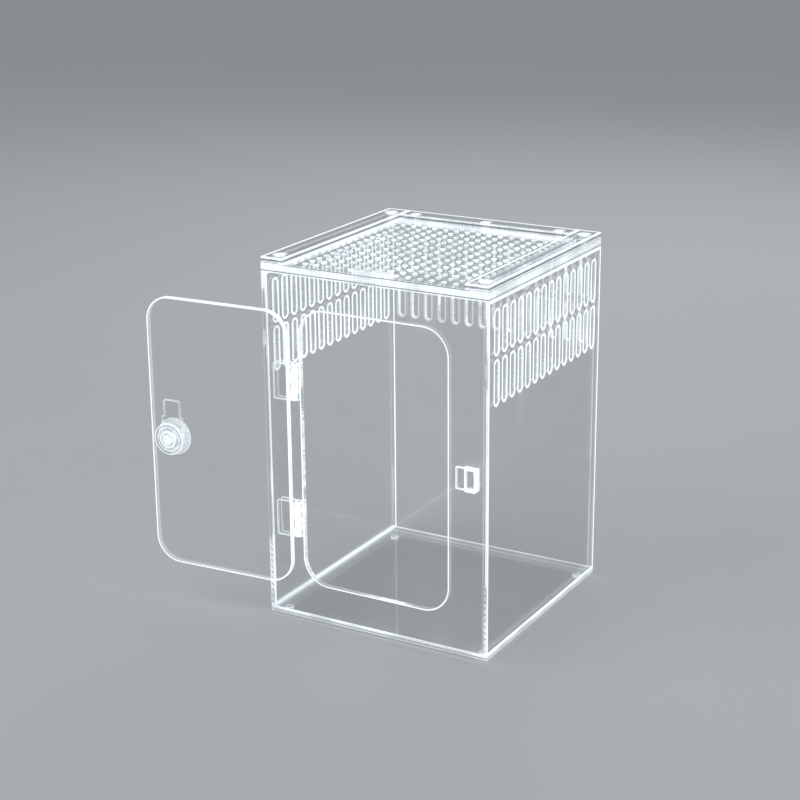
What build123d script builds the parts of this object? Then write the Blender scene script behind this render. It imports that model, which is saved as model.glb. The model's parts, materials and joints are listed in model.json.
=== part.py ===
from build123d import *
import os
from math import cos, hypot, radians, sin

# Clear acrylic faunarium: a tall box with a hinged front door and a sliding perforated lid.
# Millimetres, +Z up, front towards -Y, origin at the centre of the base panel's underside.

# Box
box_width = 200.0
box_depth = 200.0
base_thickness = 4.0
wall_thickness = 4.0
edge_break = 0.3

# Vent slots, two rows in the left, right and back walls
slot_width = 6.0
slot_length = 33.5
slot_pitch = 13.3
slot_rows = 2
slot_row_gap = 6.0
slot_top_margin = 9.0
slot_end_margin = 10.9

# Door opening, and the front wall left beside, below and above it
opening_height = 230.0
opening_side = 34.25
opening_sill = 28.0
opening_head = 26.0
opening_corner = 22.0

# Door, shown open as in the photograph
door_clearance = 0.75
door_thickness = 4.0
door_open_angle = 177.0

# Hinges
hinge_spacing = 115.2
hinge_drop = 1.1
hinge_height = 30.0
hinge_side_offset = 2.25
hinge_face_gap = 0.3
knuckle_count = 4
knuckle_radius = 3.4
knuckle_gap = 0.3
knuckle_clearance = 0.5
leaf_reach = 18.2
leaf_thickness = 2.0
leaf_corner = 1.5
pin_radius = 1.5
running_clearance = 0.05

# Turn latch on the door
latch_edge_inset = 17.0
latch_drop = 5.8
latch_gap = 0.35
spindle_radius = 2.5
tongue_width = 15.7
tongue_reach = 31.6
tongue_thickness = 2.2
tongue_corner = 2.0
shoulder_width = 20.0
shoulder_reach = 17.4
disc_radius = 13.4
disc_thickness = 1.6
disc_rim_width = 2.4
disc_groove_width = 1.6
disc_groove_depth = 0.6
knob_radius = 15.6
knob_thickness = 1.6
knob_step_radius = 11.2
knob_step_height = 3.0
bolt_head_radius = 7.0
bolt_head_thickness = 2.0
nut_radius = 5.0
nut_thickness = 3.5
nut_cover = 0.8

# Keeper on the front wall that the latch tongue turns into
keeper_height = 18.0
keeper_rise = 2.3
keeper_overlap = 4.4
keeper_end_clearance = 0.8
keeper_spacer_width = 11.6
keeper_cap_width = 8.5
keeper_lip_thickness = 2.2
keeper_cap_thickness = 2.8

# Top: ring plate, rails and cover strips that form the lid's channel
ring_thickness = 4.0
ring_side = 20.0
ring_front = 10.0
ring_back = 20.0
spacer_thickness = 4.0
side_spacer_width = 16.0
back_spacer_width = 14.0
cover_thickness = 4.0
cover_rail_width = 20.0
back_strip_width = 16.5

# Sliding lid
lid_side_clearance = 0.4
lid_back_clearance = 0.5
lid_face_clearance = 0.3
lid_hole_radius = 2.2
lid_hole_pitch = 10.2
lid_hole_side_margin = 3.4
lid_hole_front_margin = 12.0
lid_hole_back_margin = 8.2
handle_width = 34.0
handle_depth = 5.0
handle_height = 3.3

# Screws through the rails, and feet under the base below the corner screws
corner_inset_x = 9.5
corner_inset_y = 13.0
corner_screw_radius = 2.0
corner_head_radius = 4.0
corner_head_depth = 1.8
strip_screw_count = 3
strip_screw_inset = 11.2
strip_screw_end_inset = 12.5
strip_screw_radius = 1.5
strip_head_radius = 3.0
strip_head_depth = 1.4
screw_clearance = 0.1
screw_end_margin = 0.6
recess_reach = 0.7
recess_width = 0.8
recess_depth = 0.9
foot_radius = 3.5
foot_height = 2.5
foot_fillet = 0.9

# Levels and places worked out from the sizes above
half_width = box_width / 2
half_depth = box_depth / 2
inner_width = box_width - 2 * wall_thickness
opening_width = box_width - 2 * opening_side
wall_height = opening_sill + opening_height + opening_head
wall_top = base_thickness + wall_height
ring_top = wall_top + ring_thickness
spacer_top = ring_top + spacer_thickness
cover_top = spacer_top + cover_thickness
ring_opening_width = box_width - 2 * ring_side
ring_opening_depth = box_depth - ring_front - ring_back
slot_row_pitch = slot_length + slot_row_gap
slots_mid = wall_top - slot_top_margin - (slot_rows * slot_row_pitch - slot_row_gap) / 2
opening_mid = base_thickness + opening_sill + opening_height / 2
axis_gap = knuckle_radius + hinge_face_gap
hinge_x = -opening_width / 2 - hinge_side_offset
hinge_y = -half_depth - axis_gap
door_near = hinge_side_offset + door_clearance
door_width = opening_width - 2 * door_clearance
door_height = opening_height - 2 * door_clearance
latch_reach = door_near + door_width - latch_edge_inset
tongue_swing = hypot(tongue_reach, tongue_width / 2)
keeper_gap = tongue_thickness + 2 * latch_gap
keeper_spacer_start = hinge_x + latch_reach + tongue_swing + keeper_end_clearance
keeper_start = hinge_x + latch_reach + tongue_reach - keeper_overlap
keeper_end = keeper_spacer_start + keeper_spacer_width
channel_width = box_width - 2 * side_spacer_width
lid_width = channel_width - 2 * lid_side_clearance
lid_back = half_depth - back_spacer_width - lid_back_clearance
lid_bottom = ring_top + lid_face_clearance
lid_thickness = spacer_thickness - 2 * lid_face_clearance
lid_hole_width = ring_opening_width - 2 * lid_hole_side_margin
lid_hole_depth = box_depth - back_strip_width - lid_hole_front_margin - lid_hole_back_margin
lid_hole_columns = int(lid_hole_width / lid_hole_pitch) + 1
lid_hole_rows = int(lid_hole_depth / lid_hole_pitch) + 1
lid_holes_mid = lid_hole_front_margin + (lid_hole_rows - 1) * lid_hole_pitch / 2 - half_depth
corner_spacing_x = box_width - 2 * corner_inset_x
corner_spacing_y = box_depth - 2 * corner_inset_y
strip_screw_y = half_depth - strip_screw_inset
strip_screw_pitch = 2 * (half_width - cover_rail_width - strip_screw_end_inset) / (strip_screw_count - 1)
screw_end = wall_top + screw_end_margin

# Frames: the front face of the box, and the door as it stands open.
# On both, x runs towards the latch side, y is up and the normal points away from the cabin.
open_turn = radians(door_open_angle)
front_frame = Plane(origin=(0, -half_depth, opening_mid), x_dir=(1, 0, 0), z_dir=(0, -1, 0))
door_frame = Plane(
    origin=(hinge_x, hinge_y, opening_mid),
    x_dir=(cos(open_turn), -sin(open_turn), 0),
    z_dir=(-sin(open_turn), -cos(open_turn), 0),
)
door_face = door_frame.offset(-axis_gap)
latch_face = Plane(
    origin=door_face.from_local_coords((latch_reach, -latch_drop, 0)),
    x_dir=door_face.x_dir,
    z_dir=door_face.z_dir,
)


def save(piece, name):
    piece.part.label = name
    export_step(piece.part, f"parts/{name}.step")
    print(name, len(piece.part.solids()), "solid(s)", round(piece.part.volume / 1000, 2), "cm3")


def slotted_wall(plane, width, side_length):
    # A wall sheet whose outer face lies on the plane, with two rows of upright vent slots
    slots_per_row = int((side_length - 2 * slot_end_margin) / slot_pitch) + 1
    with BuildPart() as wall:
        with BuildSketch(plane):
            with Locations((0, base_thickness + wall_height / 2)):
                Rectangle(width, wall_height)
            with Locations((0, slots_mid)):
                with GridLocations(slot_pitch, slot_row_pitch, slots_per_row, slot_rows):
                    SlotOverall(slot_length, slot_width, rotation=90, mode=Mode.SUBTRACT)
        extrude(amount=-wall_thickness)
    return wall


def hinge_leaf(plane):
    # A leaf that lies on a panel, with every other knuckle of the hinge along its edge
    leaf_start = knuckle_radius + knuckle_clearance
    knuckle_pitch = hinge_height / knuckle_count
    tab_back = knuckle_radius - hinge_face_gap / 2
    tab_front = axis_gap - leaf_thickness
    with BuildPart() as leaf:
        with BuildSketch(plane.offset(-axis_gap)):
            with Locations(((leaf_start + leaf_reach) / 2, 0)):
                RectangleRounded(leaf_reach - leaf_start, hinge_height, leaf_corner)
        extrude(amount=leaf_thickness)
        for place in range(0, knuckle_count, 2):
            start = -hinge_height / 2 + place * knuckle_pitch + knuckle_gap / 2
            across = Plane(
                origin=plane.from_local_coords((0, start, 0)),
                x_dir=plane.x_dir,
                z_dir=plane.y_dir,
            )
            with BuildSketch(across):
                Circle(knuckle_radius)
                with Locations(((leaf_start + leaf_thickness) / 2, (tab_back + tab_front) / 2)):
                    Rectangle(leaf_start + leaf_thickness, tab_back - tab_front)
                Circle(pin_radius + running_clearance, mode=Mode.SUBTRACT)
            extrude(amount=knuckle_pitch - knuckle_gap)
    return leaf


def flush_screw(shank_radius, head_radius, head_depth):
    # A screw with a flat head flush with the covers and a cross recess in it
    with BuildPart() as screw:
        with BuildSketch(Plane.XY.offset(screw_end)):
            Circle(shank_radius)
        extrude(amount=cover_top - head_depth - screw_end)
        with BuildSketch(Plane.XY.offset(cover_top)):
            Circle(head_radius)
        extrude(amount=-head_depth)
        with BuildSketch(Plane.XY.offset(cover_top)):
            with PolarLocations(0, 2, 0, 180):
                Rectangle(2 * recess_reach * head_radius, recess_width)
        extrude(amount=-recess_depth, mode=Mode.SUBTRACT)
    return screw.part


os.makedirs("parts", exist_ok=True)

# Base panel
with BuildPart() as base_panel:
    with BuildSketch(Plane.XY):
        Rectangle(box_width, box_depth)
    extrude(amount=base_thickness)
save(base_panel, "base_panel")

# Side walls run the full depth, the front and back walls fit between them
left_plane = Plane(origin=(-half_width, 0, 0), x_dir=(0, -1, 0), z_dir=(-1, 0, 0))
right_plane = Plane(origin=(half_width, 0, 0), x_dir=(0, 1, 0), z_dir=(1, 0, 0))
back_plane = Plane(origin=(0, half_depth, 0), x_dir=(-1, 0, 0), z_dir=(0, 1, 0))
save(slotted_wall(left_plane, box_depth, box_depth), "left_wall")
save(slotted_wall(right_plane, box_depth, box_depth), "right_wall")
save(slotted_wall(back_plane, inner_width, box_width), "back_wall")

# Front wall with the door opening
with BuildPart() as front_wall:
    with BuildSketch(front_frame):
        with Locations((0, base_thickness + wall_height / 2 - opening_mid)):
            Rectangle(inner_width, wall_height)
        RectangleRounded(opening_width, opening_height, opening_corner, mode=Mode.SUBTRACT)
    extrude(amount=-wall_thickness)
save(front_wall, "front_wall")

# Door panel, with the hole for the latch bolt
with BuildPart() as door_panel:
    with BuildSketch(door_face):
        with Locations((door_near + door_width / 2, 0)):
            RectangleRounded(door_width, door_height, opening_corner - door_clearance)
        with Locations((latch_reach, -latch_drop)):
            Circle(spindle_radius + running_clearance, mode=Mode.SUBTRACT)
    extrude(amount=-door_thickness)
save(door_panel, "door_panel")

# Hinges, each with a leaf on the wall, a leaf on the door and a pin
for name, side in (("upper", 1), ("lower", -1)):
    hinge_origin = (hinge_x, hinge_y, opening_mid - hinge_drop + side * hinge_spacing / 2)
    wall_side = Plane(origin=hinge_origin, x_dir=(-1, 0, 0), z_dir=(0, -1, 0))
    door_side = Plane(origin=hinge_origin, x_dir=door_frame.x_dir, z_dir=door_frame.z_dir)
    save(hinge_leaf(wall_side), f"{name}_hinge_wall_leaf")
    save(hinge_leaf(door_side), f"{name}_hinge_door_leaf")
    with BuildPart() as hinge_pin:
        with BuildSketch(Plane(origin=hinge_origin).offset(-hinge_height / 2)):
            Circle(pin_radius)
        extrude(amount=hinge_height)
        chamfer(hinge_pin.edges().filter_by(GeomType.CIRCLE), edge_break)
    save(hinge_pin, f"{name}_hinge_pin")

# Latch tongue, upright as in the photograph, lying just off the door's outer face
tongue_plane = latch_face.offset(latch_gap)
with BuildPart() as latch_tongue:
    with BuildSketch(tongue_plane):
        with Locations((0, tongue_reach / 2)):
            Rectangle(tongue_width, tongue_reach)
        fillet(vertices().group_by(Axis.Y)[-1], tongue_corner)
        with Locations((0, shoulder_reach / 2)):
            Rectangle(shoulder_width, shoulder_reach)
        Circle(shoulder_width / 2)
        Circle(spindle_radius + running_clearance, mode=Mode.SUBTRACT)
    extrude(amount=tongue_thickness)
save(latch_tongue, "latch_tongue")

# Round knob outside the tongue, in two steps
knob_plane = tongue_plane.offset(tongue_thickness)
knob_face = knob_plane.offset(knob_thickness)
with BuildPart() as latch_knob:
    with BuildSketch(knob_plane):
        Circle(knob_radius)
    extrude(amount=knob_thickness)
    chamfer(latch_knob.edges().filter_by(GeomType.CIRCLE), edge_break)
    with BuildSketch(knob_face):
        Circle(knob_step_radius)
    extrude(amount=knob_step_height)
    with BuildSketch(knob_plane):
        Circle(spindle_radius + running_clearance)
    extrude(amount=knob_thickness + knob_step_height, mode=Mode.SUBTRACT)
save(latch_knob, "latch_knob")

# Disc on the door's inner face, with a shallow ring groove
disc_plane = latch_face.offset(-door_thickness - latch_gap)
disc_back = disc_plane.offset(-disc_thickness)
with BuildPart() as latch_inner_disc:
    with BuildSketch(disc_plane):
        Circle(disc_radius)
        Circle(spindle_radius + running_clearance, mode=Mode.SUBTRACT)
    extrude(amount=-disc_thickness)
    with BuildSketch(disc_back):
        Circle(disc_radius - disc_rim_width)
        Circle(disc_radius - disc_rim_width - disc_groove_width, mode=Mode.SUBTRACT)
    extrude(amount=disc_groove_depth, mode=Mode.SUBTRACT)
save(latch_inner_disc, "latch_inner_disc")

# Bolt that the latch turns on: its broad head is inside, its cap nut outside
nut_plane = knob_face.offset(knob_step_height)
stack_depth = door_thickness + disc_thickness + tongue_thickness + knob_thickness + knob_step_height
bolt_length = stack_depth + 2 * latch_gap + nut_thickness - nut_cover
with BuildPart() as latch_bolt:
    with BuildSketch(disc_back):
        Circle(bolt_head_radius)
    extrude(amount=-bolt_head_thickness)
    chamfer(latch_bolt.edges().filter_by(GeomType.CIRCLE), edge_break)
    with BuildSketch(disc_back):
        Circle(spindle_radius)
    extrude(amount=bolt_length)
save(latch_bolt, "latch_bolt")

with BuildPart() as latch_nut:
    with BuildSketch(nut_plane):
        Circle(nut_radius)
    extrude(amount=nut_thickness)
    chamfer(latch_nut.edges().filter_by(GeomType.CIRCLE), edge_break)
    with BuildSketch(nut_plane):
        Circle(spindle_radius + running_clearance)
    extrude(amount=nut_thickness - nut_cover, mode=Mode.SUBTRACT)
save(latch_nut, "latch_nut")

# Keeper on the front wall: a spacer, a lip that stands off the wall, and a cap strip
lip_front = keeper_gap + keeper_lip_thickness
cap_start = keeper_end - keeper_cap_width
keeper_plates = (
    ("keeper_spacer", keeper_spacer_start, 0, keeper_gap),
    ("keeper_lip", keeper_start, keeper_gap, keeper_lip_thickness),
    ("keeper_cap", cap_start, lip_front, keeper_cap_thickness),
)
for name, start, level, thickness in keeper_plates:
    with BuildPart() as keeper_plate:
        with BuildSketch(front_frame.offset(level)):
            with Locations(((start + keeper_end) / 2, keeper_rise)):
                Rectangle(keeper_end - start, keeper_height)
        extrude(amount=thickness)
    save(keeper_plate, name)

# Ring plate that closes the top round the opening
with BuildPart() as top_ring:
    with BuildSketch(Plane.XY.offset(wall_top)):
        Rectangle(box_width, box_depth)
        with Locations((0, (ring_front - ring_back) / 2)):
            Rectangle(ring_opening_width, ring_opening_depth, mode=Mode.SUBTRACT)
        with GridLocations(corner_spacing_x, corner_spacing_y, 2, 2):
            Circle(corner_screw_radius + screw_clearance, mode=Mode.SUBTRACT)
        with Locations((0, strip_screw_y)):
            with GridLocations(strip_screw_pitch, 0, strip_screw_count, 1):
                Circle(strip_screw_radius + screw_clearance, mode=Mode.SUBTRACT)
    extrude(amount=ring_thickness)
save(top_ring, "top_ring")

# Side rails: a spacer beside the lid, and a cover that reaches over its edge
for name, side in (("left", -1), ("right", 1)):
    screw_x = side * corner_spacing_x / 2
    with BuildPart() as rail_spacer:
        with BuildSketch(Plane.XY.offset(ring_top)):
            with Locations((side * (half_width - side_spacer_width / 2), 0)):
                Rectangle(side_spacer_width, box_depth)
            with Locations((screw_x, 0)):
                with GridLocations(0, corner_spacing_y, 1, 2):
                    Circle(corner_screw_radius + screw_clearance, mode=Mode.SUBTRACT)
        extrude(amount=spacer_thickness)
    save(rail_spacer, f"{name}_rail_spacer")

    with BuildPart() as cover_rail:
        with BuildSketch(Plane.XY.offset(spacer_top)):
            with Locations((side * (half_width - cover_rail_width / 2), 0)):
                Rectangle(cover_rail_width, box_depth)
        extrude(amount=cover_thickness)
        with Locations((screw_x, 0, cover_top)):
            with GridLocations(0, corner_spacing_y, 1, 2):
                CounterBoreHole(
                    radius=corner_screw_radius + screw_clearance,
                    counter_bore_radius=corner_head_radius + screw_clearance,
                    counter_bore_depth=corner_head_depth,
                    depth=cover_thickness,
                )
    save(cover_rail, f"{name}_cover_rail")

# Back of the lid's channel: the spacer is the lid's stop, the cover strip reaches over it
with BuildPart() as back_rail_spacer:
    with BuildSketch(Plane.XY.offset(ring_top)):
        with Locations((0, half_depth - back_spacer_width / 2)):
            Rectangle(channel_width, back_spacer_width)
        with Locations((0, strip_screw_y)):
            with GridLocations(strip_screw_pitch, 0, strip_screw_count, 1):
                Circle(strip_screw_radius + screw_clearance, mode=Mode.SUBTRACT)
    extrude(amount=spacer_thickness)
save(back_rail_spacer, "back_rail_spacer")

with BuildPart() as back_cover_strip:
    with BuildSketch(Plane.XY.offset(spacer_top)):
        with Locations((0, half_depth - back_strip_width / 2)):
            Rectangle(box_width - 2 * cover_rail_width, back_strip_width)
    extrude(amount=cover_thickness)
    with Locations((0, strip_screw_y, cover_top)):
        with GridLocations(strip_screw_pitch, 0, strip_screw_count, 1):
            CounterBoreHole(
                radius=strip_screw_radius + screw_clearance,
                counter_bore_radius=strip_head_radius + screw_clearance,
                counter_bore_depth=strip_head_depth,
                depth=cover_thickness,
            )
save(back_cover_strip, "back_cover_strip")

# Sliding lid with its square grid of round holes
with BuildPart() as sliding_lid:
    with BuildSketch(Plane.XY.offset(lid_bottom)):
        with Locations((0, (lid_back - half_depth) / 2)):
            Rectangle(lid_width, lid_back + half_depth)
        with Locations((0, lid_holes_mid)):
            with GridLocations(lid_hole_pitch, lid_hole_pitch, lid_hole_columns, lid_hole_rows):
                Circle(lid_hole_radius, mode=Mode.SUBTRACT)
    extrude(amount=lid_thickness)
save(sliding_lid, "sliding_lid")

with BuildPart() as lid_handle:
    with BuildSketch(Plane.XY.offset(lid_bottom + lid_thickness)):
        with Locations((0, handle_depth / 2 - half_depth)):
            Rectangle(handle_width, handle_depth)
    extrude(amount=handle_height)
    chamfer(lid_handle.edges().filter_by(Axis.Z), edge_break)
save(lid_handle, "lid_handle")

# Screws: four through the corners of the rails, three through the back strip
corner_screw = flush_screw(corner_screw_radius, corner_head_radius, corner_head_depth)
with BuildPart() as corner_screws:
    with GridLocations(corner_spacing_x, corner_spacing_y, 2, 2):
        add(corner_screw)
save(corner_screws, "corner_screws")

strip_screw = flush_screw(strip_screw_radius, strip_head_radius, strip_head_depth)
with BuildPart() as back_strip_screws:
    with Locations((0, strip_screw_y)):
        with GridLocations(strip_screw_pitch, 0, strip_screw_count, 1):
            add(strip_screw)
save(back_strip_screws, "back_strip_screws")

# Feet under the base, below the corner screws
with BuildPart() as feet:
    with BuildSketch(Plane.XY):
        with GridLocations(corner_spacing_x, corner_spacing_y, 2, 2):
            Circle(foot_radius)
    extrude(amount=-foot_height)
    fillet(feet.edges().group_by(Axis.Z)[0], foot_fillet)
save(feet, "feet")
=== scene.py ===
import json
from math import cos, radians, sin, tau

import bmesh
import bpy
import numpy as np
from mathutils import Matrix, Vector


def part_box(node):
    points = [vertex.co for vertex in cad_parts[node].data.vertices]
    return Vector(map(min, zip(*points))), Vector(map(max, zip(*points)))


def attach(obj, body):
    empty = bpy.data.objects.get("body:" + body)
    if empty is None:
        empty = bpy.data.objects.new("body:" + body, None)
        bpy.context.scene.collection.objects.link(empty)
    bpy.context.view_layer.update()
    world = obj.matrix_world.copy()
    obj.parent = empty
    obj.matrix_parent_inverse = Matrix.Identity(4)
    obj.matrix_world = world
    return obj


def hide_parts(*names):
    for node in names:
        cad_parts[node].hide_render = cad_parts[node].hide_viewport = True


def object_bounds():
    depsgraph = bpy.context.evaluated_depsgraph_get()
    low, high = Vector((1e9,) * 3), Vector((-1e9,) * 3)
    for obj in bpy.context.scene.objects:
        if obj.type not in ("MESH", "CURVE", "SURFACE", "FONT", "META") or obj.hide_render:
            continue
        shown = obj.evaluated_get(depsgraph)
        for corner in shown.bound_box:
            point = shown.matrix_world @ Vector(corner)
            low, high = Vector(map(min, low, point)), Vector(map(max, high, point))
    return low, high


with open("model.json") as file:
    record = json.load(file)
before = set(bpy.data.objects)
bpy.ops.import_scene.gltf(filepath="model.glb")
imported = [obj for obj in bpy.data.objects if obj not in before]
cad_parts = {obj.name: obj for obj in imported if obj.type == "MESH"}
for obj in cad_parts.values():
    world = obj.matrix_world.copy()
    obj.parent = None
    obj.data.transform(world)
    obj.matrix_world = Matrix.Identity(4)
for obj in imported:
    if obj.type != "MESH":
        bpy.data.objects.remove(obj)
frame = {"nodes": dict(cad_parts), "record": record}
cadBox = [list(corner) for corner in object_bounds()]
scene = bpy.context.scene
record = frame["record"]
bodyOf = {node: body for body, nodes in record["behaviour"]["bodies"].items() for node in nodes}

# Sight and light pass through many sheets on their way
bounceSettings = {"all": 12, "transparent": 64}
scene.view_settings.view_transform = "Standard"
scene.cycles.max_bounces = bounceSettings["all"]
scene.cycles.transparent_max_bounces = bounceSettings["transparent"]
scene.cycles.caustics_refractive = False
scene.cycles.caustics_reflective = False
print("frame loaded:", len(frame["nodes"]), "nodes")

# The camera stands where the photograph's corners put it
cameraSettings = {
    "azimuth": 30.01,
    "elevation": 18.07,
    "roll": -0.505,
    "place": (0.6978, -1.2659, 0.6410),
    "lens": 83.54,
    "sensor": 36.0,
    "farthest": 100,
}


def makeCamera(settings):
    # right, up and back follow from the azimuth, the elevation and a small roll about the view
    azimuth = radians(settings["azimuth"])
    elevation = radians(settings["elevation"])
    roll = radians(settings["roll"])
    ahead = Vector((-sin(azimuth) * cos(elevation), cos(azimuth) * cos(elevation), -sin(elevation)))
    right = Vector((cos(azimuth), sin(azimuth), 0))
    up = right.cross(ahead)
    rolledRight = right * cos(roll) + up * sin(roll)
    rolledUp = up * cos(roll) - right * sin(roll)
    data = bpy.data.cameras.new("camera")
    data.lens = settings["lens"]
    data.sensor_width = settings["sensor"]
    data.clip_end = settings["farthest"]
    camera = bpy.data.objects.new("camera", data)
    turn = Matrix((rolledRight, rolledUp, -ahead)).transposed().to_4x4()
    camera.matrix_world = Matrix.Translation(settings["place"]) @ turn
    scene.collection.objects.link(camera)
    scene.camera = camera


makeCamera(cameraSettings)
print("camera placed")


# Mesh helpers: every turned shape is a grid of points, rows along its profile and columns round its axis
weldWithin = 1e-6
millimetre = 0.001


def gridFaces(rows, columns, closed=False):
    i, j = np.meshgrid(np.arange(rows if closed else rows - 1), np.arange(columns), indexing="ij")
    below, above = i * columns, (i + 1) % rows * columns
    beside = (j + 1) % columns
    return np.stack([below + j, below + beside, above + beside, above + j], -1).reshape(-1, 4)


def settle(piece, node):
    # the piece stands for a CAD node: it rides on the same body, and the node is hidden
    scene.collection.objects.link(piece)
    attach(piece, bodyOf[node])
    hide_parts(node)
    return piece


def turnedPiece(name, node, material, radius, level, glow, places, frameOf, closed=False, crease=40):
    # point = place + radius cos t right + radius sin t up + level out, with t running round the columns;
    # radius, level and glow are arrays of rows by columns, and the shape is repeated at every place
    right, up, out = (np.array(way, float) for way in frameOf)
    rows, columns = radius.shape
    t = np.arange(columns) / columns * tau
    around = np.cos(t)[None, :, None] * right + np.sin(t)[None, :, None] * up
    shape = (radius[..., None] * around + level[..., None] * out).reshape(-1, 3)
    places = np.asarray(places, float).reshape(-1, 3)
    points = (shape[None] + places[:, None]).reshape(-1, 3)
    faces = gridFaces(rows, columns, closed)
    faces = (faces[None] + (np.arange(len(places)) * len(shape))[:, None, None]).reshape(-1, 4)
    data = bpy.data.meshes.new(name)
    data.from_pydata(points.tolist(), [], faces.tolist())
    mark = data.attributes.new("glow", "FLOAT", "POINT")
    mark.data.foreach_set("value", np.tile(glow.ravel(), len(places)).astype(np.float32))
    work = bmesh.new()
    work.from_mesh(data)
    bmesh.ops.remove_doubles(work, verts=work.verts, dist=weldWithin)
    bmesh.ops.recalc_face_normals(work, faces=work.faces)
    work.to_mesh(data)
    work.free()
    data.shade_smooth()
    data.set_sharp_from_angle(angle=radians(crease))
    data.materials.append(material)
    return settle(bpy.data.objects.new(name, data), node)


def profileArrays(profile, columns):
    # a table of (radius, level, glow) in millimetres, the same all the way round
    table = np.array(profile, float)
    wide = np.ones((1, columns))
    return table[:, :1] * millimetre * wide, table[:, 1:2] * millimetre * wide, table[:, 2:3] * wide


# Node helpers: a value is a number, a tuple or another node's socket
def put(tree, socket, value):
    if isinstance(value, bpy.types.NodeSocket):
        tree.links.new(value, socket)
    else:
        socket.default_value = value


def addNode(tree, kind, inputs=None, **values):
    node = tree.nodes.new(kind)
    for key, value in values.items():
        setattr(node, key, value)
    for key, value in (inputs or {}).items():
        put(tree, node.inputs[key], value)
    return node


def calc(tree, operation, *values, clamp=False):
    inputs = dict(enumerate(values))
    return addNode(tree, "ShaderNodeMath", inputs, operation=operation, use_clamp=clamp).outputs[0]


def times(tree, first, *others):
    for other in others:
        first = calc(tree, "MULTIPLY", first, other)
    return first


def vectorCalc(tree, operation, *values):
    node = addNode(tree, "ShaderNodeVectorMath", dict(enumerate(values)), operation=operation)
    return node.outputs["Value" if operation in ("DOT_PRODUCT", "LENGTH") else "Vector"]


def ramp(tree, value, low, high, first=0.0, last=1.0):
    inputs = {"Value": value, "From Min": low, "From Max": high, "To Min": first, "To Max": last}
    return addNode(tree, "ShaderNodeMapRange", inputs, interpolation_type="SMOOTHSTEP").outputs["Result"]


def blend(tree, share, first, second):
    return addNode(tree, "ShaderNodeMix", {0: share, 2: first, 3: second}, data_type="FLOAT").outputs[0]


def blendColour(tree, share, first, second):
    node = addNode(tree, "ShaderNodeMix", {0: share, 6: first, 7: second}, data_type="RGBA")
    return node.outputs[2]


def meshMark(tree, name):
    return addNode(tree, "ShaderNodeAttribute", attribute_name=name).outputs["Fac"]


def bandTable(tree, value, bands):
    # rows of (place, bright, dark) give two values that change across the thickness
    node = addNode(tree, "ShaderNodeValToRGB", {"Fac": value})
    stops = node.color_ramp.elements
    for stop, (place, bright, dark) in ((stops[0], bands[0]), (stops[1], bands[-1])):
        stop.position, stop.color = place, (bright, dark, 0, 1)
    for place, bright, dark in bands[1:-1]:
        stops.new(place).color = (bright, dark, 0, 1)
    split = addNode(tree, "ShaderNodeSeparateColor", {0: node.outputs["Color"]})
    return split.outputs[0], split.outputs[1]


def newGroup(name, inputs, outputs):
    group = bpy.data.node_groups.new(name, "ShaderNodeTree")
    for direction, sockets in (("INPUT", inputs), ("OUTPUT", outputs)):
        for label, kind in sockets.items():
            group.interface.new_socket(label, in_out=direction, socket_type="NodeSocket" + kind)
    return group, addNode(group, "NodeGroupInput"), addNode(group, "NodeGroupOutput")


def newMaterial(name):
    material = bpy.data.materials.new(name)
    material.use_nodes = True
    return material, material.node_tree, material.node_tree.nodes["Principled BSDF"]


# Cut edges of a sheet: which faces are cut, how far across the thickness a point lies, the faces that
# are glued to a neighbour, the fine streaks that the cutter leaves, and slow changes along the edge
edgeSettings = {
    "cutFrom": (0.97, 0.80),
    "gluedWithin": 0.00015,
    "gluedFacing": 0.9,
    "streakScale": 1500.0,
    "streakDetail": 2.0,
    "streakRange": (0.30, 0.70),
    "driftScale": 34.0,
    "driftDetail": 1.5,
    "driftRange": (0.36, 0.62),
}


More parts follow.
